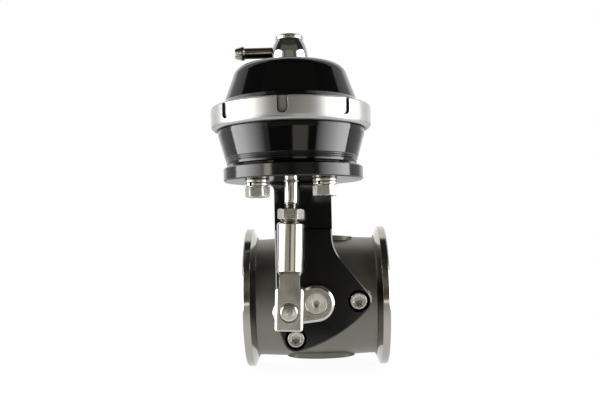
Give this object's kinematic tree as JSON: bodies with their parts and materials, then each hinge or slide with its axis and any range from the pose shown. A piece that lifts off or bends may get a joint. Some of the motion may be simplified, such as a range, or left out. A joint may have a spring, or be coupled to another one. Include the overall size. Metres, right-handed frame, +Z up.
{
  "type": "turbo wastegate",
  "caption": "In-line butterfly wastegate: piped body with V-band flanges, and a bracket-mounted diaphragm actuator whose rod and clevis turn the disc through a lever.",
  "frame": {"origin": "middle of the pipe axis, halfway between the two flange faces, where the shaft axis crosses it", "axes": "+X along the pipe, +Y from the lever side to the back, +Z up towards the actuator"},
  "size_m": [0.0846, 0.1298, 0.1645],
  "materials": {
    "cast_stainless": "bead-blasted casting, satin and warm grey, with bright turned flange rims",
    "machined_stainless": "fine turned",
    "bronze": "turned",
    "packing": "dark filled packing",
    "black_bracket": "satin black",
    "black_oxide_steel": "black oxide",
    "bright_steel": "bright zinc plate",
    "brushed_steel": "brushed flat with bright chamfers",
    "blasted_steel": "grainy matt head",
    "polished_steel": "polished",
    "spring_steel": "oiled",
    "gloss_black_anodised": "gloss black anodised aluminium",
    "silver_anodised": "satin silver anodised",
    "diaphragm_rubber": "fabric-backed silicone rubber",
    "plain_aluminium": "turned",
    "chrome_plate": "mirror plate",
    "dark_nickel": "dark nickel plate",
    "sealing_copper": "dull"
  },
  "bodies": {
    "housing": {"valve_body": "cast_stainless", "shaft_bushes": "bronze", "shaft_seal": "packing", "thrust_washer": "bronze", "rear_plug": "machined_stainless", "bracket": "black_bracket", "bracket_screws": "bright_steel", "housing_bolts": "bright_steel", "plain_washers": "bright_steel", "spring_washers": "bright_steel", "neck_screw": "black_oxide_steel", "rod_bush": "bright_steel", "rod_seal": "packing", "actuator_housing": "gloss_black_anodised", "locking_collar": "silver_anodised", "actuator_cap": "gloss_black_anodised", "diaphragm": "diaphragm_rubber", "outer_spring": "spring_steel", "inner_spring": "spring_steel", "banjo_body": "chrome_plate", "hose_barb": "dark_nickel", "banjo_bolt": "chrome_plate", "banjo_seals": "sealing_copper", "lower_port_fitting": "dark_nickel"},
    "pushrod": {"clevis": "polished_steel", "clevis_pin": "polished_steel", "pin_clip": "spring_steel", "jam_nut": "bright_steel", "actuator_rod": "polished_steel", "piston_plate": "plain_aluminium", "piston": "plain_aluminium", "piston_nut": "bright_steel"},
    "butterfly": {"butterfly_disc": "machined_stainless", "butterfly_shaft": "machined_stainless", "disc_screws": "machined_stainless", "lever": "brushed_steel", "lever_screw": "blasted_steel"}
  },
  "joints": [
    {"name": "pushrod_stroke", "type": "slide", "parent": "housing", "child": "pushrod", "axis": [0.0363, 0, 0.9993], "range_m": [0, 0.012], "stiffness_N_per_m": 10000, "springref_m": -0.0136, "deforming": ["diaphragm", "outer_spring", "inner_spring"]},
    {"name": "butterfly_turn", "type": "hinge", "parent": "housing", "child": "butterfly", "pos_m": [0, 0, 0], "axis": [0, 1, 0], "range_deg": [0, 50.1]}
  ],
  "couplings": [
    {"joint": "butterfly_turn", "follows": "pushrod_stroke", "rad_per_m": 72.86}
  ]
}
